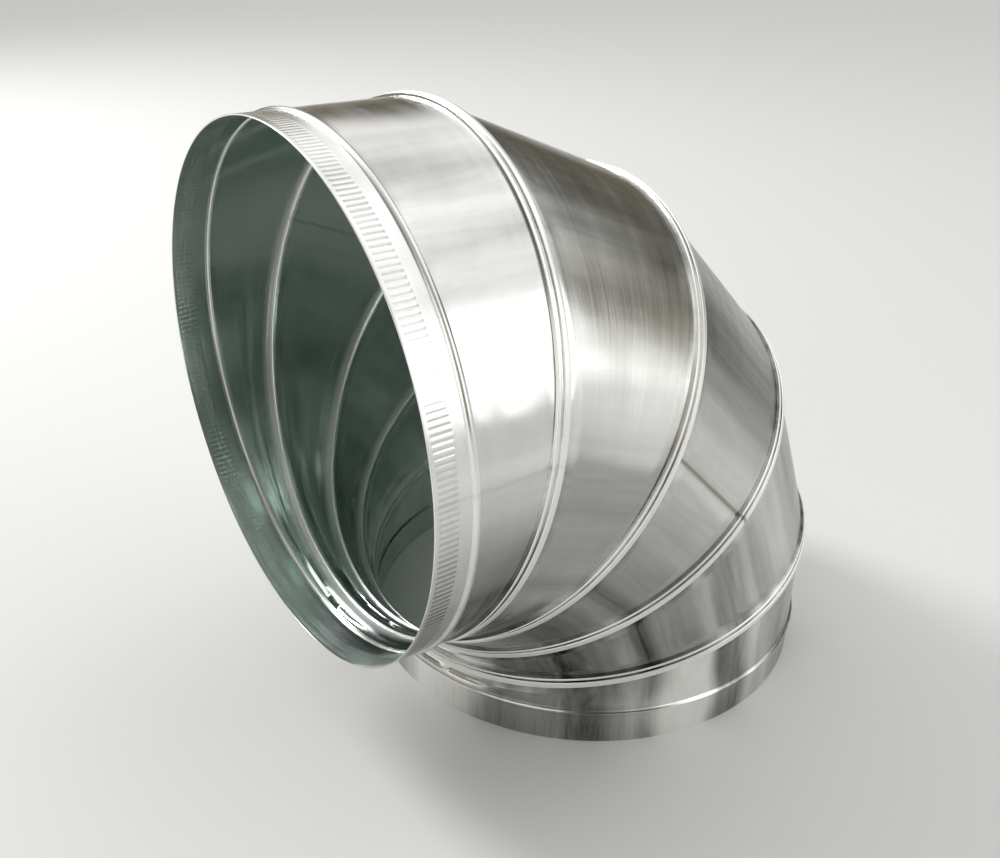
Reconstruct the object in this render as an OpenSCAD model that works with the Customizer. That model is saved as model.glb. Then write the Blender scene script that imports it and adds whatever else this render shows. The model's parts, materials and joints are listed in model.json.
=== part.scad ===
// Segmented 90 degree duct elbow in galvanised sheet: five gores joined by lock seams.
// Z is the outlet's axis and the elbow stands on its outlet collar. The inlet opens towards -X.

/* [Duct] */

// Outside diameter of both collars, a loose fit in a 300 mm duct
duct_d = 299; // [150:1:500]
// Thickness of the sheet
sheet_t = 0.7; // [0.5:0.05:1]
// Distance from the bend axis to the duct at the throat
throat_r = 44; // [30:1:300]
// Angle that the elbow turns
bend_angle = 90; // [60:5:100]

/* [Collars] */

// Length that goes into the duct, from the collar's end to the middle of the stop bead
spigot_l = 22.5; // [15:0.5:80]
// From the middle of the stop bead to the plane where the bend starts
neck_l = 6; // [4:0.5:40]
// Height of the stop bead over the collar
bead_h = 1.6; // [1:0.1:2.2]
// Width of the stop bead where it leaves the collar
bead_w = 4.4; // [3.8:0.1:6]

/* [Lock seams] */

// Width of the fold, on the outlet side of the mitre
fold_w = 3.2; // [2.9:0.1:4]
// Width of the groove between the fold and the ridge beside it
groove_w = 1.9; // [0.8:0.1:2.5]
// Depth of that groove below the ridge
groove_d = 0.7; // [0.3:0.1:0.9]
// Width of the ridge, on the inlet side
ridge_w = 1.8; // [1.6:0.1:2.5]
// Play between the folded layers of sheet
seam_play = 0.05; // [0.02:0.01:0.1]

/* [Welds] */

// Width of the flattened weld that closes each full gore
weld_w = 3; // [2:0.5:6]
// Height of the weld over the sheet
weld_h = 0.2; // [0.1:0.05:0.5]
// Where the middle gore's weld lies, from the heel towards +Y
weld_angle = -82.5; // [-170:0.5:-60]
// How far the welds of the upper and lower gores are turned from that
weld_turn = 150; // [60:1:200]

/* [View] */

// Roundness of the curved faces
$fn = 144; // [48:12:240]

/* [Hidden] */

NODES = ["inlet_gore", "upper_gore", "middle_gore", "lower_gore", "outlet_gore"];

duct_r = duct_d / 2;
bend_r = duct_r + throat_r;
collar_l = spigot_l + neck_l;

// The two end gores are half gores, so five gores make four equal turns.
gore_angle = bend_angle / (len(NODES) - 1);
half_angle = gore_angle / 2;

// One layer of the folded seam with the play under it
layer_t = sheet_t + seam_play;

// How far the outer half of a seam reaches before the mitre
over_w = ridge_w + groove_w + sheet_t;

// Longer than any piece of the elbow, for cutting tools
reach = 2 * (bend_r + duct_r + collar_l);

sheet_color = [0.72, 0.73, 0.72];
shade_color = [0.62, 0.64, 0.63];

// Moves to a station of the bend: origin on the centre line, Z along it towards the inlet.
module at_bend(angle) {
    translate([-bend_r, 0, collar_l])
        rotate([0, -angle, 0])
            translate([bend_r, 0, 0])
                children();
}

// The modules from here to full_gore work in one gore's own frame: origin on the centre line in
// the middle of the gore, Z on the gore's axis. They make the seam at the gore's +Z end.

// Turns about the bend axis, by a number of half gores.
module turned(halves) {
    translate([-bend_r, 0, 0])
        rotate([0, -halves * half_angle, 0])
            translate([bend_r, 0, 0])
                children();
}

// Space between two planes parallel to the mitre, at distances beyond it.
module between(from, to) {
    turned(1)
        translate([-reach / 2, -reach / 2, from])
            cube([reach, reach, to - from]);
}

// Straight round shell on the gore's axis.
module shell(r_in, r_out) {
    difference() {
        cylinder(r = r_out, h = reach, center = true);
        cylinder(r = r_in, h = 2 * reach, center = true);
    }
}

// Flattened weld along a gore: a low strip over the sheet, rooted halfway into it.
module weld(angle, from, to) {
    rotate([0, 0, angle])
        intersection() {
            shell(duct_r - sheet_t / 2, duct_r + weld_h);
            translate([0, -weld_w / 2, from])
                cube([reach, weld_w, to - from]);
        }
}

// Ring of sheet on this gore, before the mitre.
module ring(r_in, r_out, from, to) {
    intersection() {
        shell(r_in, r_out);
        between(from, to);
    }
}

// Ring of sheet past the mitre, on the next gore.
module next_ring(r_in, r_out, from, to) {
    intersection() {
        turned(2)
            shell(r_in, r_out);
        between(from, to);
    }
}

// Inner radius of a layer of the seam. Layer 0 is the duct wall; 1 to 3 lie on top of it.
function layer_r(n) = duct_r - sheet_t + n * layer_t;

// Outer half of a lock seam. Before the mitre the sheet rises to a ridge and drops to a groove.
// Past it the sheet runs over the next gore's fold and folds back under that.
module hook_over() {
    top = layer_r(3) + sheet_t;
    // The ridge is half a sheet lower than the fold.
    ridge_top = top - sheet_t / 2;
    groove_r = ridge_top - groove_d - sheet_t;
    groove_from = ridge_w - over_w;
    ring(layer_r(0), ridge_top, -over_w, sheet_t - over_w);
    ring(ridge_top - sheet_t, ridge_top, -over_w, groove_from);
    ring(groove_r, ridge_top, groove_from - sheet_t, groove_from);
    ring(groove_r, groove_r + sheet_t, groove_from - sheet_t, 0);
    ring(groove_r, ridge_top, -sheet_t, 0);
    next_ring(layer_r(3), top, -sheet_t / 2, fold_w);
    next_ring(layer_r(1), top, fold_w - sheet_t, fold_w);
    next_ring(layer_r(1), layer_r(1) + sheet_t, 2 * layer_t, fold_w);
}

// Inner half of a lock seam. The duct wall folds up just before the mitre and comes back between
// the two layers of the outer half.
module hook_under() {
    ring(layer_r(0), layer_r(2) + sheet_t, -layer_t, -seam_play);
    ring(layer_r(2), layer_r(2) + sheet_t, layer_t - fold_w, -seam_play);
}

// A wall cut for the outer half of a seam at its +Z end, with that half.
module hooked_over() {
    intersection() {
        children();
        between(-reach / 2, sheet_t - over_w);
    }
    hook_over();
}

// A wall cut for the inner half of a seam at its +Z end, with that half.
module hooked_under() {
    intersection() {
        children();
        between(-reach / 2, -seam_play);
    }
    hook_under();
}

// Half section of a collar with its swaged stop bead, hollow behind. Y runs out of the duct and
// is 0 where the bend starts.
module collar_section() {
    // The bead is an arc with its ends on the collar's surface.
    arc_r = (bead_h * bead_h + bead_w * bead_w / 4) / (2 * bead_h);
    arc_x = duct_r + bead_h - arc_r;
    difference() {
        union() {
            translate([duct_r - sheet_t, -reach / 2])
                square([sheet_t, reach / 2 + collar_l]);
            intersection() {
                translate([arc_x, neck_l])
                    circle(r = arc_r);
                translate([duct_r - sheet_t, neck_l - bead_w])
                    square([bead_h + 2 * sheet_t, 2 * bead_w]);
            }
        }
        translate([arc_x, neck_l])
            circle(r = arc_r - sheet_t);
    }
}

// Wall of an end gore with its collar at the -Z end. Its weld is rolled flush with the sheet.
module collar_wall() {
    mirror([0, 0, 1])
        rotate_extrude()
            collar_section();
}

// Full gore: outer half of a seam at the outlet end, inner half at the inlet end.
module full_gore(weld_at) {
    mirror([0, 0, 1])
        hooked_over()
            mirror([0, 0, 1])
                hooked_under() {
                    shell(duct_r - sheet_t, duct_r);
                    weld(weld_at, -reach / 2, reach / 2);
                }
}

module inlet_gore() {
    color(sheet_color)
        at_bend(bend_angle)
            mirror([0, 0, 1])
                hooked_over()
                    collar_wall();
}

module upper_gore() {
    color(shade_color)
        at_bend(3 * gore_angle)
            full_gore(weld_angle + weld_turn);
}

module middle_gore() {
    color(sheet_color)
        at_bend(2 * gore_angle)
            full_gore(weld_angle);
}

module lower_gore() {
    color(shade_color)
        at_bend(gore_angle)
            full_gore(weld_angle + weld_turn);
}

module outlet_gore() {
    color(sheet_color)
        at_bend(0)
            hooked_under()
                collar_wall();
}

inlet_gore();
upper_gore();
middle_gore();
lower_gore();
outlet_gore();
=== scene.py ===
import json
import math
from collections import namedtuple

import bmesh
import bpy
from mathutils import Matrix, Vector


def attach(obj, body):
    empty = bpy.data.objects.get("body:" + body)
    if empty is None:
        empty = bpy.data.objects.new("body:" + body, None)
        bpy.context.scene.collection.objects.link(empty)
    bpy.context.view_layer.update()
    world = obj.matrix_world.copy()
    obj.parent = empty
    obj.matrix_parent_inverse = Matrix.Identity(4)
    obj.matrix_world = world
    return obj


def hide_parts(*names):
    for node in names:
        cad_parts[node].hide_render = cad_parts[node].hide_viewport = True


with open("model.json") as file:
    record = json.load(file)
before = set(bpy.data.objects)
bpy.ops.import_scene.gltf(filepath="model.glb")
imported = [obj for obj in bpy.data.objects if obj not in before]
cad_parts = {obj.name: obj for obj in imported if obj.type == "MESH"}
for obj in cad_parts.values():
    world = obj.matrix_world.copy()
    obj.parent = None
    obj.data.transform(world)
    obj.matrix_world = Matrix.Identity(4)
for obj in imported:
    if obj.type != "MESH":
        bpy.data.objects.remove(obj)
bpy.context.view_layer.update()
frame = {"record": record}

FULL_TURN = 2 * math.pi
MM = 0.001

# Sizes of the duct, in metres, with the same values as the CAD model
mounts = {mount["name"]: mount for mount in frame["record"]["mounts"]}
DUCT_R = mounts["outlet_collar"]["dims"]["r_mm"] * MM
COLLAR_L = 28.5 * MM
BEND_R = mounts["inlet_collar"]["pos_m"][2] - COLLAR_L
GORE_TURN = math.radians(22.5)
HALF_TURN = GORE_TURN / 2

# Lengths from here to the weld's are in millimetres
SHEET = 0.7
WALL_MID = -SHEET / 2

# How far a seam's folds reach from the mitre, and where the plain wall ends before it
SEAM_REACH = 4.5
SEAM_ROOT = -2 * SEAM_REACH

# The folded sheet at a seam: its centre path, as distances beyond the mitre and heights over the
# duct, and the distance from which its side inside the duct is burnished and painted bright as a
# highlight
Fold = namedtuple("Fold", "path, burnished_from")
OVER = Fold(
    path=(
        (SEAM_ROOT, WALL_MID),
        (-4.05, WALL_MID),
        (-4.05, 1.55),
        (-2.95, 1.55),
        (-2.95, 0.85),
        (-0.35, 0.85),
        (-0.35, 1.9),
        (2.85, 1.9),
        (2.85, 0.4),
        (1.5, 0.4),
    ),
    burnished_from=-5.2,
)
UNDER = Fold(
    path=(
        (SEAM_ROOT, WALL_MID),
        (-4.2, WALL_MID),
        (-3.5, -0.6),
        (-2.3, -0.6),
        (-1.6, WALL_MID),
        (-0.4, WALL_MID),
        (-0.4, 1.15),
        (-2.45, 1.15),
    ),
    burnished_from=-1.8,
)

# Radii of the folds' convex and hollow corners. A corner wider than GENTLE is left as it is, and
# the others take no more than CORNER_SHARE of either arm.
OUTER_ROUND = 0.55
INNER_ROUND = 0.15
GENTLE = math.radians(150)
CORNER_SHARE = 0.45
CORNER_STEPS = 4

# The folds are burnished and painted bright as a highlight on their crowns, from a height on, and
# painted with shade in the gaps between them. Each of these comes in over its fade, and so does the
# burnish and painted highlight inside the duct.
CROWN_FROM = 1.35
CROWN_FADE = 0.4
GAP_FROM = -4.4
GAP_FADE = 0.3
GAP_SHADE = 0.15
INSIDE_FADE = 0.6

# How far a seam wanders along the duct, and the waves in its height
SEAM_WANDER = 0.12
SEAM_WAVE_H = 0.05
SEAM_WAVES = 7

# The wall's slow bumps, which lean round the duct, and how soon they and the rolls' waves rise
# from its edges
BUMP_H = 0.22
BUMP_LEAN = 1.3
BUMP_TWIST = 2.2
BUMP_RISE = 0.7
ROLL_RISE = 0.3
WALL_ROWS = 14

# Collar: distances from its end, heights over the duct
BEAD_AT = 22.5
BEAD_H = 1.6
BEAD_W = 4.4
BEAD_FOOT = 0.5
BEAD_STEPS = 12
RIM_ROUND = 0.18
RIM_STEPS = 3
# The collar's wear and painted highlight fade out over this beside the bead
COLLAR_WEAR_AND_SHEEN_FADE = 1.0

# The grip band: where it is, the plain margin beside it and its pressed grooves
GRIP_FROM = 1.8
GRIP_TO = 13.6
GRIP_MARGIN = 0.6
GRIP_FADE = 0.9
GRIP_ROWS = 4
GROOVES = 288
GROOVE_STEPS = 6
GROOVE_DEPTH = 0.16
GROOVE_SHAPE = 1.6
# The grooves lose the collar's wear and painted highlight and are darkened past it as painted shade
GROOVE_SHADE = 1.3
# The inside of the grip band has a fixed wear and painted highlight
GRIP_WEAR_AND_SHEEN_INSIDE = 0.3

# The weld's half width and the slope beside it. Each ring has points at these arcs from it, and
# even ones from a little further on.
WELD_HALF = 0.9
WELD_SLOPE = 0.8
WELD_ARCS = (-2.6, -1.7, -1.2, -0.5, 0.0, 0.5, 1.2, 1.7, 2.6)
EVEN_FROM = 3.4
EVEN_COUNT = 240

# How many times each wave of a ripple goes round the duct, and numbers that scatter its phases
SLOW_ORDERS = (2, 3, 5, 8)
ROLL_ORDERS = (11, 17, 41)
SCATTER = (12.9898, 78.233, 43758.5453)

# The sheet's second coordinate, in metres. It is 0 in the middle of a wall's outside and 1 in the
# middle of its inside. These are the wall's share of it, the mitre's place and the collar end's.
ALONG_WALL = 0.04
ALONG_MITRE = 0.03
ALONG_COLLAR = -0.05

# Angles that differ by less than this are taken as the same
SAME_ANGLE = 1e-9


def ease(x):
    """A smooth step from 0 to 1."""
    x = min(max(x, 0.0), 1.0)
    return x * x * (3 - 2 * x)


def ripple(angle, seed, size, orders=SLOW_ORDERS):
    """A random wander round the duct, the same on each run."""
    total = 0.0
    for order in orders:
        phase = math.sin(seed * SCATTER[0] + order * SCATTER[1]) * SCATTER[2]
        total += math.sin(order * angle + phase) / order
    return size * total


def offset_side(path, side):
    """The path moved half a sheet to one side, with mitred corners."""
    steps = [(b - a).normalized() for a, b in zip(path, path[1:])]
    steps = [steps[0]] + steps + [steps[-1]]
    moved = []
    for point, into, out in zip(path, steps, steps[1:]):
        a = Vector((-into.y, into.x))
        b = Vector((-out.y, out.x))
        moved.append(point + (a + b) * side * SHEET / 2 / (1 + a.dot(b)))
    return moved


def rounded(path, outer, inner):
    """The path with rounded corners: outer is for turns to the right, inner for turns to the left."""
    smooth = [path[0]]
    for before, corner, after in zip(path, path[1:], path[2:]):
        arm_a = before - corner
        arm_b = after - corner
        if arm_a.angle(arm_b) > GENTLE:
            smooth.append(corner)
            continue
        radius = outer if arm_a.cross(arm_b) > 0 else inner
        reach = radius / math.tan(arm_a.angle(arm_b) / 2)
        reach = min(reach, CORNER_SHARE * arm_a.length, CORNER_SHARE * arm_b.length)
        a = corner + arm_a.normalized() * reach
        b = corner + arm_b.normalized() * reach
        for step in range(CORNER_STEPS + 1):
            t = step / CORNER_STEPS
            smooth.append(a * (1 - t) ** 2 + corner * 2 * t * (1 - t) + b * t ** 2)
    smooth.append(path[-1])
    return smooth


def seam_edge(fold):
    """The folded sheet's surface as (point, wear), from the outside of the wall to its inside.

    The wear is 1 where the sheet is burnished and painted bright as a highlight, 0 on the plain wall
    and below 0 in the gaps between the folds, where shade is painted.
    """
    centre = [Vector(p) for p in fold.path]
    edge = offset_side(centre, 1) + offset_side(centre, -1)[::-1]
    edge = rounded(edge, OUTER_ROUND, INNER_ROUND)
    half = len(edge) // 2
    wear_sheen_and_shade = []
    for point in edge[:half]:
        crown = ease((point.y - CROWN_FROM) / CROWN_FADE)
        # Painted shade in the gaps between the folds
        gap = (1 - crown) * ease((point.x - GAP_FROM) / GAP_FADE)
        wear_sheen_and_shade.append(crown - GAP_SHADE * gap)
    for point in edge[half:]:
        wear_sheen_and_shade.append(ease((point.x - fold.burnished_from) / INSIDE_FADE))
    return list(zip(edge, wear_sheen_and_shade))


def bead_edge(height):
    """The bead's points on one side of the sheet, as (distance from the end, height over the duct).

    height is that side's own height beside the bead: 0 outside the duct and -SHEET inside it.
    """
    outer_r = (BEAD_H ** 2 + BEAD_W ** 2 / 4) / (2 * BEAD_H)
    centre = Vector((BEAD_AT, BEAD_H - outer_r))
    radius = outer_r + height
    swing = math.acos((height - centre.y) / radius)
    path = [Vector((COLLAR_L / MM, height))]
    for step in range(BEAD_STEPS + 1):
        t = swing * (1 - 2 * step / BEAD_STEPS)
        path.append(centre + radius * Vector((math.sin(t), math.cos(t))))
    path.append(Vector((GRIP_TO, height)))
    return rounded(path, BEAD_FOOT, BEAD_FOOT)[1:-1]


def grip_edge():
    """The collar's serrated end as (distance, height), from its inside round the rim to its outside."""
    far = GRIP_TO - GRIP_FADE
    near = GRIP_FROM + GRIP_FADE
    marks = [GRIP_TO + GRIP_MARGIN, GRIP_TO, GRIP_TO - GRIP_FADE / 2]
    marks += [far + (near - far) * row / GRIP_ROWS for row in range(GRIP_ROWS + 1)]
    marks += [GRIP_FROM + GRIP_FADE / 2, GRIP_FROM, GRIP_FROM - GRIP_MARGIN]
    rim = []
    for step in range(RIM_STEPS + 1):
        t = math.pi / 2 * step / RIM_STEPS
        rim.append((RIM_ROUND * (1 - math.sin(t)), RIM_ROUND * (1 - math.cos(t))))
    inside = [(mark, -SHEET) for mark in marks] + [(mark, depth - SHEET) for mark, depth in rim]
    outside = [(mark, -depth) for mark, depth in rim[::-1]] + [(mark, 0.0) for mark in marks[::-1]]
    return inside + outside


def seam_angles():
    """Angles from the weld round the duct, closer together at the weld."""
    weld = [arc * MM / DUCT_R for arc in WELD_ARCS]
    even = [FULL_TURN * n / EVEN_COUNT for n in range(EVEN_COUNT)]
    clear = EVEN_FROM * MM / DUCT_R
    angles = [a for a in weld if a >= 0]
    angles += [a for a in even if clear < a < FULL_TURN - clear]
    angles += [FULL_TURN + a for a in weld if a < 0]
    return angles


def groove_angles():
    """Angles from the weld round the duct, with the same steps in each groove."""
    count = GROOVES * GROOVE_STEPS
    return [FULL_TURN * n / count for n in range(count)]


def weld_height(arc, height):
    """How far the weld stands out at an arc from its middle line."""
    return height * (1 - ease((arc / MM - WELD_HALF) / WELD_SLOPE))


def side_middle(height):
    """The sheet's second coordinate in the middle of the side that has this height."""
    return 0.0 if height > WALL_MID else 1.0


Ring = namedtuple("Ring", "angles, verts, along")


class Skin:
    """A closed surface of rings round the duct, with the sheet's own coordinates as its UVs."""

    def __init__(self, weld_at):
        self.mesh = bmesh.new()
        self.uv = self.mesh.loops.layers.uv.new("sheet")
        # Per point: wear and painted light, with a painted highlight over 0 and painted shade below 0
        self.wear_and_painted_light = self.mesh.verts.layers.float.new("wear_and_painted_light")
        self.weld = math.radians(weld_at)
        self.rings = []

    def ring(self, angles, place, along, wear_sheen_and_shade=0.0):
        """Adds a ring. Its angles are from the weld, and along is the sheet's second coordinate.

        place(turn, arc) gives a point by its turn round the duct and its arc from the weld. The wear
        and painted light, with a painted highlight over 0 and painted shade below 0, is a number, or a
        function of the angle.
        """
        verts = []
        for angle in angles:
            arc = min(angle, FULL_TURN - angle) * DUCT_R
            vert = self.mesh.verts.new(place(angle + self.weld, arc))
            vert[self.wear_and_painted_light] = wear_sheen_and_shade(angle) if callable(wear_sheen_and_shade) else wear_sheen_and_shade
            verts.append(vert)
        self.rings.append(Ring(angles + [FULL_TURN, math.inf], verts + verts[:1], along))

    def face(self, corners):
        """A face on corners that are given as (ring, index)."""
        face = self.mesh.faces.new([ring.verts[n] for ring, n in corners])
        for loop, (ring, n) in zip(face.loops, corners):
            loop[self.uv].uv = (ring.angles[n] * DUCT_R, ring.along)

    def join(self, low, high):
        """Faces between two rings, with a triangle where only one of them has a next point."""
        i = 0
        j = 0
        while min(low.angles[i + 1], high.angles[j + 1]) < math.inf:
            low_next = low.angles[i + 1]
            high_next = high.angles[j + 1]
            corners = [(low, i)]
            last = (high, j)
            if low_next <= high_next + SAME_ANGLE:
                i += 1
                corners.append((low, i))
            if high_next <= low_next + SAME_ANGLE:
                j += 1
                corners.append((high, j))
            self.face(corners + [last])

    def finish(self, name, matrix):
        """The rings joined into one closed piece, which the matrix puts in its place."""
        for low, high in zip(self.rings, self.rings[1:] + self.rings[:1]):
            self.join(low, high)
        self.mesh.transform(matrix)
        bmesh.ops.recalc_face_normals(self.mesh, faces=self.mesh.faces)
        for face in self.mesh.faces:
            face.smooth = True
        data = bpy.data.meshes.new(name)
        self.mesh.to_mesh(data)
        self.mesh.free()
        piece = bpy.data.objects.new(name, data)
        bpy.context.scene.collection.objects.link(piece)
        return piece


def duct_point(turn, height, z):
    """A point at a height over the duct, in millimetres, and a place on the gore's axis."""
    radius = DUCT_R + height * MM
    return Vector((radius * math.cos(turn), radius * math.sin(turn), z))


def mitre_z(x, beyond):
    """Place on the gore's axis of a point at a distance beyond the mitre."""
    return ((x + BEND_R) * math.sin(HALF_TURN) + beyond) / math.cos(HALF_TURN)


def seam_start(x):
    """Place on the gore's axis where its wall meets the seam at +Z."""
    return mitre_z(x, SEAM_ROOT * MM)


def low_seam_start(x):
    """The same for the seam at -Z."""
    return -seam_start(x)


def collar_start(x):
    """Place on an end gore's axis where its wall meets the collar."""
    return 0.0


def seam_point(turn, height, beyond):
    """A point of the folded sheet at the gore's +Z end. Past the mitre it follows the next gore."""
    spot = duct_point(turn, height, 0.0)
    spot.z = mitre_z(spot.x, -abs(beyond) * MM)
    if beyond > 0:
        spot.x -= 2 * beyond * MM * math.sin(HALF_TURN)
        spot.z += 2 * beyond * MM * math.cos(HALF_TURN)
    return spot


def add_seam(skin, fold, seed, weld_h, flip=False, backwards=False):
    """The rings of a folded end. flip puts it at the gore's -Z end."""
    angles = seam_angles()
    tilted_axis = Vector((-math.sin(HALF_TURN), 0, math.cos(HALF_TURN)))
    edge = seam_edge(fold)
    if backwards:
        edge = edge[::-1]
    for (beyond, height), wear_sheen_and_shade in edge:
        near = 1 - ease((abs(beyond) - SEAM_REACH) / SEAM_REACH)
        plain_outside = height > WALL_MID and beyond < -SEAM_REACH

        def place(turn, arc):
            raised = weld_height(arc, weld_h) if plain_outside else 0.0
            wave = SEAM_WAVE_H * near * math.sin(SEAM_WAVES * turn + seed)
            spot = seam_point(turn, height + raised + wave, beyond)
            spot += ripple(turn, seed, SEAM_WANDER) * near * MM * tilted_axis
            if flip:
                spot.z = -spot.z
            return spot

        along = ALONG_MITRE + beyond * MM
        skin.ring(angles, place, side_middle(height) + (-along if flip else along), wear_sheen_and_shade)


def add_wall(skin, start, end, height, seed, weld_h, roll):
    """Rings of plain wall on one side of the sheet, between two edges that depend on x."""
    angles = seam_angles()
    for row in range(1, WALL_ROWS):
        share = row / WALL_ROWS
        middle = math.sin(math.pi * share)
        lean = BUMP_LEAN * math.cos(BUMP_TWIST * share + seed)

        def place(turn, arc):
            bumps = middle ** BUMP_RISE * ripple(turn + lean, seed, BUMP_H)
            waves = middle ** ROLL_RISE * ripple(turn, seed + 0.5, roll, ROLL_ORDERS)
            raised = weld_height(arc, weld_h) if height > WALL_MID else 0.0
            spot = duct_point(turn, height + bumps + waves + raised, 0.0)
            spot.z = start(spot.x) * (1 - share) + end(spot.x) * share
            return spot

        skin.ring(angles, place, side_middle(height) + ALONG_WALL * (share - 0.5))


def add_collar_ring(skin, mark, height, collar_wear_and_sheen):
    """A plain ring of the collar, which is worn and painted bright as a highlight on its outside, up to
    the bead.
    """

    def place(turn, arc):
        return duct_point(turn, height, mark * MM - COLLAR_L)

    wear_sheen_and_shade = 0.0
    if height > WALL_MID:
        wear_sheen_and_shade = collar_wear_and_sheen * ease((BEAD_AT + BEAD_W / 2 - mark) / COLLAR_WEAR_AND_SHEEN_FADE)
    skin.ring(seam_angles(), place, side_middle(height) + ALONG_COLLAR + mark * MM, wear_sheen_and_shade)


def add_grip_ring(skin, mark, height, collar_wear_and_sheen):
    """A ring of the collar's serrated end, with its pressed grooves."""
    fade = ease((mark - GRIP_FROM) / GRIP_FADE) * ease((GRIP_TO - mark) / GRIP_FADE)

    def pressed(angle):
        return fade * (0.5 + 0.5 * math.cos(GROOVES * angle)) ** GROOVE_SHAPE

    def place(turn, arc):
        depth = GROOVE_DEPTH * pressed(turn - skin.weld)
        return duct_point(turn, height - depth, mark * MM - COLLAR_L)

    # Outside, the wear and painted highlight drop in each groove and turn into painted shade; inside,
    # they are fixed
    def wear_sheen_and_shade(angle):
        if height > WALL_MID:
            return collar_wear_and_sheen * (1 - GROOVE_SHADE * pressed(angle))
        return GRIP_WEAR_AND_SHEEN_INSIDE

    skin.ring(groove_angles(), place, side_middle(height) + ALONG_COLLAR + mark * MM, wear_sheen_and_shade)


def at_bend(station):
    """The frame of a gore: origin on the centre line, Z along it towards the inlet."""
    turn = Matrix.Rotation(-station * GORE_TURN, 4, "Y")
    out = Matrix.Translation((-BEND_R, 0, COLLAR_L))
    return out @ turn @ Matrix.Translation((BEND_R, 0, 0))


def full_gore(gore):
    """A gore between two seams, folded over its neighbour at -Z and under the one at +Z."""
    skin = Skin(gore.weld_at)
    low_seed, wall_seed, high_seed = gore.seeds
    wall = (wall_seed, gore.weld_h, gore.roll)
    add_seam(skin, OVER, low_seed, gore.weld_h, flip=True)
    add_wall(skin, low_seam_start, seam_start, -SHEET, *wall)
    add_seam(skin, UNDER, high_seed, gore.weld_h, backwards=True)
    add_wall(skin, seam_start, low_seam_start, 0.0, *wall)
    return skin.finish(gore.name + "_gore_sheet", at_bend(gore.station))


def end_gore(gore, fold, collar_wear_and_sheen, mirrored=False):
    """A gore with its collar at -Z and a seam at +Z, or the other way round if it is mirrored."""
    skin = Skin(gore.weld_at)
    wall_seed, seam_seed = gore.seeds
    wall = (wall_seed, gore.weld_h, gore.roll)
    for mark, height in bead_edge(-SHEET):
        add_collar_ring(skin, mark, height, collar_wear_and_sheen)
    for mark, height in grip_edge():
        add_grip_ring(skin, mark, height, collar_wear_and_sheen)
    for mark, height in bead_edge(0.0)[::-1]:
        add_collar_ring(skin, mark, height, collar_wear_and_sheen)
    add_collar_ring(skin, COLLAR_L / MM, 0.0, collar_wear_and_sheen)
    add_wall(skin, collar_start, seam_start, 0.0, *wall)
    add_seam(skin, fold, seam_seed, gore.weld_h)
    add_wall(skin, seam_start, collar_start, -SHEET, *wall)
    add_collar_ring(skin, COLLAR_L / MM, -SHEET, collar_wear_and_sheen)
    matrix = at_bend(gore.station)
    if mirrored:
        matrix = matrix @ Matrix.Scale(-1, 4, (0, 0, 1))
    return skin.finish(gore.name + "_gore_sheet", matrix)


# Gores: place from the outlet, weld round the duct in degrees, heights of the weld and of the
# rolls' waves in millimetres, seeds in the order in which the walls and seams are made, and
# strength of the weld's stain. The first seed is also the material's.
Gore = namedtuple("Gore", "name, station, weld_at, weld_h, roll, seeds, weld_tint")
INLET = Gore("inlet", 4, -87, 0.06, 0.8, (1.1, 2.1), 0.08)
UPPER = Gore("upper", 3, 67.5, 0.2, 1.5, (3.1, 4.1, 2.1), 0.3)
MIDDLE = Gore("middle", 2, -82.5, 0.2, 3.0, (5.1, 6.1, 3.1), 0.6)
LOWER = Gore("lower", 1, 67.5, 0.2, 4.5, (7.1, 8.1, 5.1), 0.3)
OUTLET = Gore("outlet", 0, 100, 0.06, 4.5, (9.1, 7.1), 0.08)
# How much the collars are worn and painted bright as a highlight, the inlet's far more than the
# outlet's
INLET_COLLAR_WEAR_AND_SHEEN = 0.5
OUTLET_COLLAR_WEAR_AND_SHEEN = 0.05

# Colours of the sheet
ZINC_DULL = (0.42, 0.425, 0.415, 1)
ZINC_PALE = (0.68, 0.685, 0.67, 1)
# Worn sheet, and the painted highlight on fold crowns and collars
ZINC_WORN_AND_SHEEN = (0.95, 0.95, 0.94, 1)
# A green tint inside the duct, paler than the zinc outside, as painted fill light
INSIDE_TINT_AND_FILL = (0.70, 0.84, 0.79, 1)
WELD_CORE = (0.13, 0.13, 0.12, 1)
WELD_HALO = (0.42, 0.38, 0.31, 1)

# Strength of the tint and painted fill light inside the duct, on plain sheet and on sheet that is worn
# and painted bright
INSIDE_TINT_PLAIN = 0.6
INSIDE_TINT_WORN = 0.1

# The weld's dark core fades out between the first two distances from it, and its straw-coloured
# edge between the last two
WELD_STAINS = (0.6 * MM, 1.5 * MM, 4.5 * MM)
HALO_SHARE = 0.35

# Roughness of the zinc, with what wear and the weld's stain add
ROUGHNESS = 0.2
WORN_ROUGHNESS = 0.18
WELD_ROUGHNESS = 0.2

# Where most of a noise lies
NOISE_LOW = 0.3
NOISE_HIGH = 0.7

# Relief of the rolling lines
RELIEF_STRENGTH = 0.35
RELIEF_DEPTH = 0.03 * MM

# How far the painted reflection bands wander round a gore, and the mottle between them, with what the
# rolls' waves add
REFLECTION_BAND_LEAN = math.radians(5)
MOTTLE = 0.1
MOTTLE_BY_ROLL = 0.06

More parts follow.
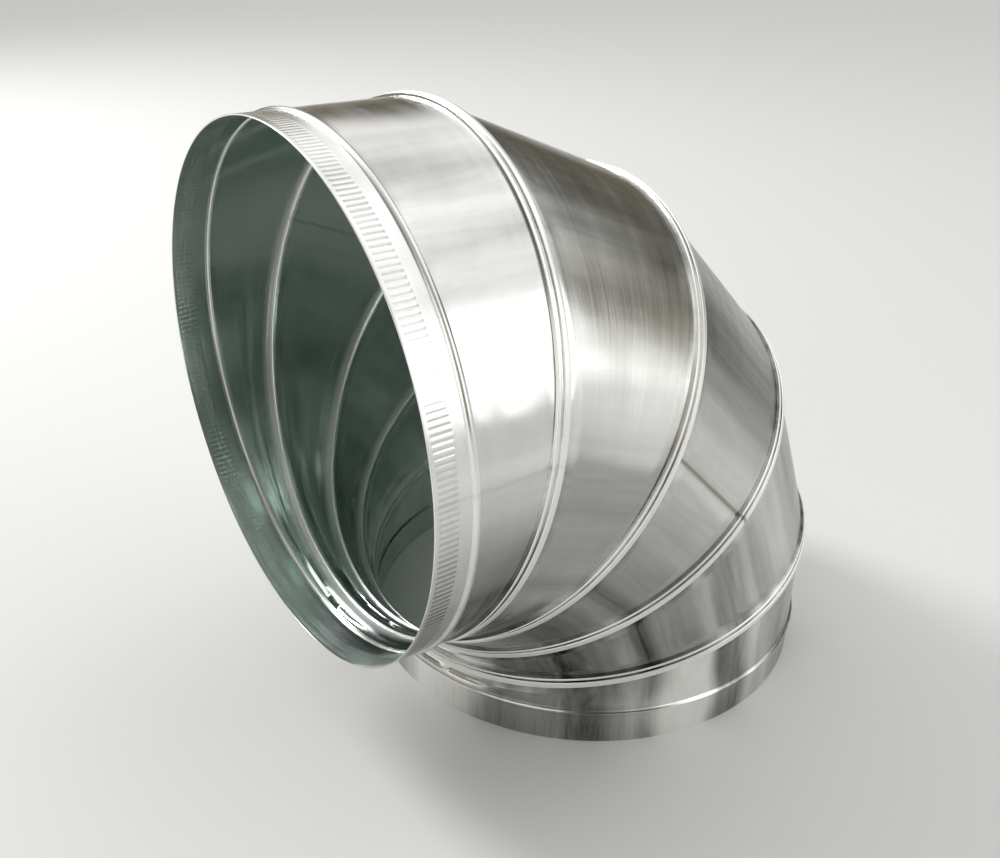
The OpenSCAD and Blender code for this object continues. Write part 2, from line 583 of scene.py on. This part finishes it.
# Painted reflections: lighter and darker bands along the gores that stand in for the floor, shade and
# studio the sheet reflects. Each has its place round the duct and half width in degrees, with the
# change in brightness. Those on the hidden side are the same for all gores.
PAINTED_REFLECTION_BANDS = {
    "inlet": ((-130, 34, -0.62), (-80, 24, 0.35), (-34, 12, -0.2), (0, 26, 1.0)),
    "upper": ((-142, 22, -0.75), (-100, 20, -0.2), (-64, 24, 0.65), (-36, 14, -0.4)),
    "middle": (
        (-145, 20, -0.2),
        (-122, 24, -0.4),
        (-82, 12, 0.2),
        (-52, 20, -0.7),
        (-28, 14, -0.7),
    ),
    "lower": (
        (-166, 14, 0.8),
        (-141, 14, -0.72),
        (-124, 12, -0.35),
        (-110, 10, -0.45),
        (-94, 6, -0.4),
        (-50, 22, -0.8),
    ),
    "outlet": (
        (-168, 14, 0.8),
        (-136, 24, -0.4),
        (-107, 8, 0.7),
        (-95, 9, -0.6),
        (-84, 8, 0.3),
        (-62, 16, -0.5),
    ),
}
HIDDEN_SIDE_REFLECTION_BANDS = ((35, 24, -0.3), (78, 10, 0.2), (122, 26, -0.35), (158, 9, 0.25))


class Nodes:
    """Adds nodes to a tree. Most of the methods return the new node's output."""

    def __init__(self, tree):
        self.tree = tree

    def add(self, kind, **settings):
        node = self.tree.nodes.new("ShaderNode" + kind)
        for name, value in settings.items():
            setattr(node, name, value)
        return node

    def feed(self, socket, value):
        """Links an output to the socket, or sets a plain value on it."""
        if isinstance(value, bpy.types.NodeSocket):
            self.tree.links.new(value, socket)
        else:
            socket.default_value = value

    def math(self, kind, a, b=None, clamp=False):
        node = self.add("Math", operation=kind, use_clamp=clamp)
        self.feed(node.inputs[0], a)
        if b is not None:
            self.feed(node.inputs[1], b)
        return node.outputs[0]

    def total(self, first, *others):
        for other in others:
            first = self.math("ADD", first, other)
        return first

    def vector(self, kind, a, b, output="Vector"):
        node = self.add("VectorMath", operation=kind)
        self.feed(node.inputs[0], a)
        self.feed(node.inputs["Scale" if kind == "SCALE" else 1], b)
        return node.outputs[output]

    def split(self, vector):
        """The vector's first, second and third numbers."""
        node = self.add("SeparateXYZ")
        self.feed(node.inputs["Vector"], vector)
        return node.outputs

    def spread(self, value, low, high, to_low, to_high, steps="LINEAR"):
        """The value moved from one range to another, and held inside it."""
        node = self.add("MapRange", interpolation_type=steps)
        self.feed(node.inputs["Value"], value)
        self.feed(node.inputs["From Min"], low)
        self.feed(node.inputs["From Max"], high)
        self.feed(node.inputs["To Min"], to_low)
        self.feed(node.inputs["To Max"], to_high)
        return node.outputs["Result"]

    def swing(self, noise, size, middle=0.0):
        """Noise as a swing of this size to either side of the middle."""
        return self.spread(noise, NOISE_LOW, NOISE_HIGH, middle - size, middle + size)

    def noise(self, coords, scale, detail, roughness=0.55, distortion=0.0):
        """Noise that is stretched by a scale along each coordinate."""
        mapping = self.add("Mapping")
        self.feed(mapping.inputs["Vector"], coords)
        self.feed(mapping.inputs["Scale"], scale)
        node = self.add("TexNoise")
        self.feed(node.inputs["Vector"], mapping.outputs["Vector"])
        self.feed(node.inputs["Scale"], 1.0)
        self.feed(node.inputs["Detail"], detail)
        self.feed(node.inputs["Roughness"], roughness)
        self.feed(node.inputs["Distortion"], distortion)
        return node.outputs["Fac"]

    def cells(self, coords, scale):
        """A random number for each cell of a pattern of grains."""
        grains = self.add("TexVoronoi")
        self.feed(grains.inputs["Vector"], coords)
        self.feed(grains.inputs["Scale"], scale)
        self.feed(grains.inputs["Randomness"], 1.0)
        parts = self.add("SeparateColor")
        self.feed(parts.inputs["Color"], grains.outputs["Color"])
        return parts.outputs["Red"]

    def mix(self, share, a, b):
        """A colour from a to b, and past them where the share is under 0 or over 1."""
        node = self.add("Mix", data_type="RGBA", clamp_factor=False)
        self.feed(node.inputs["Factor"], share)
        self.feed(node.inputs[6], a)
        self.feed(node.inputs[7], b)
        return node.outputs[2]


Grain = namedtuple("Grain", "lines, stripes, cloud, spangle")


def rolled_grain(nodes, uv, seed):
    """What varies over the sheet: fine lines and wider stripes round the duct, clouds and spangle."""
    coords = nodes.vector("ADD", uv, (0.37 * seed, 0.71 * seed, seed))
    return Grain(
        lines=nodes.noise(coords, (5, 2600, 1), detail=4, roughness=0.6),
        stripes=nodes.noise(coords, (2.2, 170, 1), detail=3, roughness=0.6),
        cloud=nodes.noise(coords, (22, 55, 1), detail=3, roughness=0.5),
        spangle=nodes.cells(coords, 190),
    )


def zinc_tone(nodes, grain):
    """Colour of the plain zinc."""
    tone = nodes.total(
        nodes.swing(grain.lines, 0.05),
        nodes.swing(grain.stripes, 0.05),
        nodes.swing(grain.cloud, 0.03),
        nodes.spread(grain.spangle, 0, 1, -0.015, 0.015),
    )
    return nodes.mix(nodes.math("ADD", tone, 0.5, clamp=True), ZINC_DULL, ZINC_PALE)


def reflection_band_brightness(nodes, turn, reflection_bands):
    """What the painted reflection bands at a turn round the duct add to the brightness."""
    shares = []
    for place, half_width, amount in reflection_bands:
        near = nodes.math("COSINE", nodes.math("SUBTRACT", turn, math.radians(place)))
        edge = math.cos(math.radians(half_width))
        shares.append(nodes.spread(near, edge, 1.0, 0.0, amount, "SMOOTHSTEP"))
    return nodes.total(*shares)


def brightness(nodes, gore, around, along):
    """Brightness over the gore: soft mottle, and the painted reflection bands, which wander a little.
    """
    turn = nodes.math("ADD", nodes.math("DIVIDE", around, DUCT_R), math.radians(gore.weld_at))
    circle = nodes.add("CombineXYZ")
    nodes.feed(circle.inputs["X"], nodes.math("COSINE", turn))
    nodes.feed(circle.inputs["Y"], nodes.math("SINE", turn))
    nodes.feed(circle.inputs["Z"], along)
    coords = circle.outputs["Vector"]
    mottle = nodes.noise(coords, (7, 7, 6), detail=4, roughness=0.6, distortion=0.4)
    mottle = nodes.swing(mottle, MOTTLE + MOTTLE_BY_ROLL * gore.roll, 1.0)
    lean = nodes.swing(nodes.noise(coords, (1.1, 1.1, 9), detail=1), REFLECTION_BAND_LEAN)
    reflection_bands = PAINTED_REFLECTION_BANDS[gore.name] + HIDDEN_SIDE_REFLECTION_BANDS
    return nodes.math("ADD", mottle, reflection_band_brightness(nodes, nodes.math("ADD", turn, lean), reflection_bands))


def inside_tint_and_fill(nodes, along, wear_and_painted_light):
    """Share of the tint and painted fill light inside the duct, where the sheet's second coordinate is
    over a half.
    """
    inside = nodes.spread(along, 0.45, 0.55, 0.0, 1.0)
    strength = nodes.spread(wear_and_painted_light, 0.0, 1.0, INSIDE_TINT_PLAIN, INSIDE_TINT_WORN)
    return nodes.math("MULTIPLY", inside, strength)


def weld_stains(nodes, around, strength):
    """Shares of the weld's dark core and of its paler edge."""
    far = nodes.math("SUBTRACT", FULL_TURN * DUCT_R, around)
    arc = nodes.math("MINIMUM", around, far)
    core_from, core_to, halo_to = WELD_STAINS
    core = nodes.spread(arc, core_from, core_to, strength, 0.0)
    halo = nodes.spread(arc, core_to, halo_to, HALO_SHARE * strength, 0.0)
    return core, halo


def zinc_roughness(nodes, grain, wear_and_painted_light, core):
    total = nodes.total(
        nodes.swing(grain.lines, 0.04),
        nodes.swing(grain.stripes, 0.03),
        nodes.swing(grain.cloud, 0.03),
        nodes.math("MULTIPLY", wear_and_painted_light, WORN_ROUGHNESS),
        nodes.math("MULTIPLY", core, WELD_ROUGHNESS),
    )
    return nodes.math("ADD", total, ROUGHNESS, clamp=True)


def rolled_relief(nodes, grain):
    """The rolling lines in relief."""
    bump = nodes.add("Bump")
    nodes.feed(bump.inputs["Strength"], RELIEF_STRENGTH)
    nodes.feed(bump.inputs["Distance"], RELIEF_DEPTH)
    stripes = nodes.math("MULTIPLY", grain.stripes, 2.0)
    nodes.feed(bump.inputs["Height"], nodes.math("ADD", grain.lines, stripes))
    return bump.outputs["Normal"]


def galvanised(gore):
    """Cold-rolled zinc-coated sheet: rolling lines round the duct, faint spangle, a tinted weld, and
    painted reflections, highlights, shade and fill light.
    """
    material = bpy.data.materials.new("zinc_" + gore.name)
    material.use_nodes = True
    nodes = Nodes(material.node_tree)
    uv = nodes.add("UVMap", uv_map="sheet").outputs["UV"]
    around, along, _ = nodes.split(uv)
    wear_and_painted_light = nodes.add("Attribute", attribute_name="wear_and_painted_light").outputs["Fac"]
    grain = rolled_grain(nodes, uv, gore.seeds[0])
    core, halo = weld_stains(nodes, around, gore.weld_tint)

    # Base colour: zinc, mottle and painted reflection bands, then wear with its painted highlight and
    # shade, the tint with painted fill light inside, and the weld's stains
    colour = nodes.vector("SCALE", zinc_tone(nodes, grain), brightness(nodes, gore, around, along))
    colour = nodes.mix(wear_and_painted_light, colour, ZINC_WORN_AND_SHEEN)
    colour = nodes.mix(inside_tint_and_fill(nodes, along, wear_and_painted_light), colour, INSIDE_TINT_AND_FILL)
    colour = nodes.mix(halo, colour, WELD_HALO)
    colour = nodes.mix(core, colour, WELD_CORE)

    shader = material.node_tree.nodes["Principled BSDF"]
    nodes.feed(shader.inputs["Base Color"], colour)
    nodes.feed(shader.inputs["Roughness"], zinc_roughness(nodes, grain, wear_and_painted_light, core))
    nodes.feed(shader.inputs["Normal"], rolled_relief(nodes, grain))
    nodes.feed(shader.inputs["Metallic"], 1.0)
    nodes.feed(shader.inputs["Anisotropic"], 0.6)
    nodes.feed(shader.inputs["Anisotropic Rotation"], 0.25)
    tangent = nodes.add("Tangent", direction_type="UV_MAP", uv_map="sheet")
    nodes.feed(shader.inputs["Tangent"], tangent.outputs["Tangent"])
    return material


def dress(piece, node, material):
    piece.data.materials.append(material)
    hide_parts(node)
    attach(piece, "root")


# The studio's floor, and what its soft boxes face
FLOOR_SIZE = 60.0
FLOOR_COLOUR = (0.68, 0.68, 0.675, 1)
LIT_PLACE = Vector((-0.1, 0, 0.12))

# The studio's walls. They turn pale between two heights of a direction's end on the unit sphere,
# are dim behind the camera, and vary a little in patches.
WALL_DARK = (0.12, 0.105, 0.075, 1)
WALL_PALE = (1.15, 1.15, 1.13, 1)
PALE_FROM = 0.34
PALE_TO = 0.66
AWAY_FROM_CAMERA = (0.75, 0.66, 0.0)
DIM_TO = -0.5
LIT_FROM = 0.15
DIM_SHARE = 0.2
PATCH_SWING = 0.4
WALL_STRENGTH = 1.1

# The camera, in metres, with its lens for a sensor 36 mm wide
CAMERA_AT = Vector((-0.4270, -0.4707, 0.4644))
CAMERA_RIGHT = Vector((0.804, -0.595, 0.008))
CAMERA_UP = Vector((0.266, 0.371, 0.890))
CAMERA_LENS = 37.32
SENSOR_W = 36.0


def add_floor():
    bpy.ops.mesh.primitive_plane_add(size=FLOOR_SIZE, location=(0, 0, 0))
    floor = bpy.context.object
    floor.name = "floor"
    paint = bpy.data.materials.new("floor_paint")
    paint.use_nodes = True
    shader = paint.node_tree.nodes["Principled BSDF"]
    shader.inputs["Base Color"].default_value = FLOOR_COLOUR
    shader.inputs["Roughness"].default_value = 0.9
    floor.data.materials.append(paint)


def add_soft_box(name, place, width, height, power):
    """A soft light that faces the middle of the elbow."""
    data = bpy.data.lights.new(name, "AREA")
    data.shape = "RECTANGLE"
    data.size = width
    data.size_y = height
    data.energy = power
    light = bpy.data.objects.new(name, data)
    light.location = place
    light.rotation_euler = (LIT_PLACE - Vector(place)).to_track_quat("-Z", "Y").to_euler()
    light.visible_camera = False
    bpy.context.scene.collection.objects.link(light)


def glow(sky, direction, azimuth, elevation, radius, strength):
    """A soft pale patch of the studio's walls, with angles in degrees."""
    flat = math.cos(math.radians(elevation))
    x = flat * math.cos(math.radians(azimuth))
    y = flat * math.sin(math.radians(azimuth))
    z = math.sin(math.radians(elevation))
    near = sky.vector("DOT_PRODUCT", direction, (x, y, z), "Value")
    edge = math.cos(math.radians(radius))
    full = math.cos(math.radians(radius / 4))
    return sky.spread(near, edge, full, 0.0, strength, "SMOOTHSTEP")


def add_studio():
    """Walls: pale above and beyond the elbow, dim behind the camera, dark near the far horizon."""
    world = bpy.data.worlds.new("studio")
    bpy.context.scene.world = world
    world.use_nodes = True
    sky = Nodes(world.node_tree)
    direction = sky.add("TexCoord").outputs["Generated"]
    overhead = sky.spread(sky.split(direction)["Z"], PALE_FROM, PALE_TO, 0.0, 1.0)
    beyond = sky.vector("DOT_PRODUCT", direction, AWAY_FROM_CAMERA, "Value")
    beyond = sky.spread(beyond, DIM_TO, LIT_FROM, DIM_SHARE, 1.0)
    pale = sky.total(
        sky.math("MULTIPLY", overhead, beyond),
        glow(sky, direction, azimuth=-55, elevation=16, radius=34, strength=1.2),
        glow(sky, direction, azimuth=0, elevation=54, radius=36, strength=0.5),
    )
    patches = sky.noise(direction, (2.6, 2.6, 4.5), detail=1)
    patches = sky.spread(patches, 0.35, 0.65, 1 - PATCH_SWING, 1 + PATCH_SWING)
    background = world.node_tree.nodes["Background"]
    sky.feed(background.inputs["Color"], sky.mix(pale, WALL_DARK, WALL_PALE))
    sky.feed(background.inputs["Strength"], sky.math("MULTIPLY", patches, WALL_STRENGTH))


def add_camera():
    data = bpy.data.cameras.new("camera")
    data.lens = CAMERA_LENS
    data.sensor_width = SENSOR_W
    data.clip_start = 0.01
    camera = bpy.data.objects.new("camera", data)
    bpy.context.scene.collection.objects.link(camera)
    back = CAMERA_RIGHT.cross(CAMERA_UP).normalized()
    up = back.cross(CAMERA_RIGHT).normalized()
    axes = Matrix((up.cross(back), up, back)).transposed()
    camera.matrix_world = Matrix.Translation(CAMERA_AT) @ axes.to_4x4()
    bpy.context.scene.camera = camera


dress(end_gore(INLET, OVER, INLET_COLLAR_WEAR_AND_SHEEN, mirrored=True), "inlet_gore", galvanised(INLET))
for gore in (UPPER, MIDDLE, LOWER):
    dress(full_gore(gore), gore.name + "_gore", galvanised(gore))
dress(end_gore(OUTLET, UNDER, OUTLET_COLLAR_WEAR_AND_SHEEN), "outlet_gore", galvanised(OUTLET))

add_floor()
add_soft_box("back_left", (-1.0, 2.4, 2.0), 1.0, 1.0, 60)
add_soft_box("left", (-2.0, -0.9, 0.8), 1.6, 1.4, 10)
add_studio()
add_camera()
bpy.context.scene.view_settings.view_transform = "Standard"
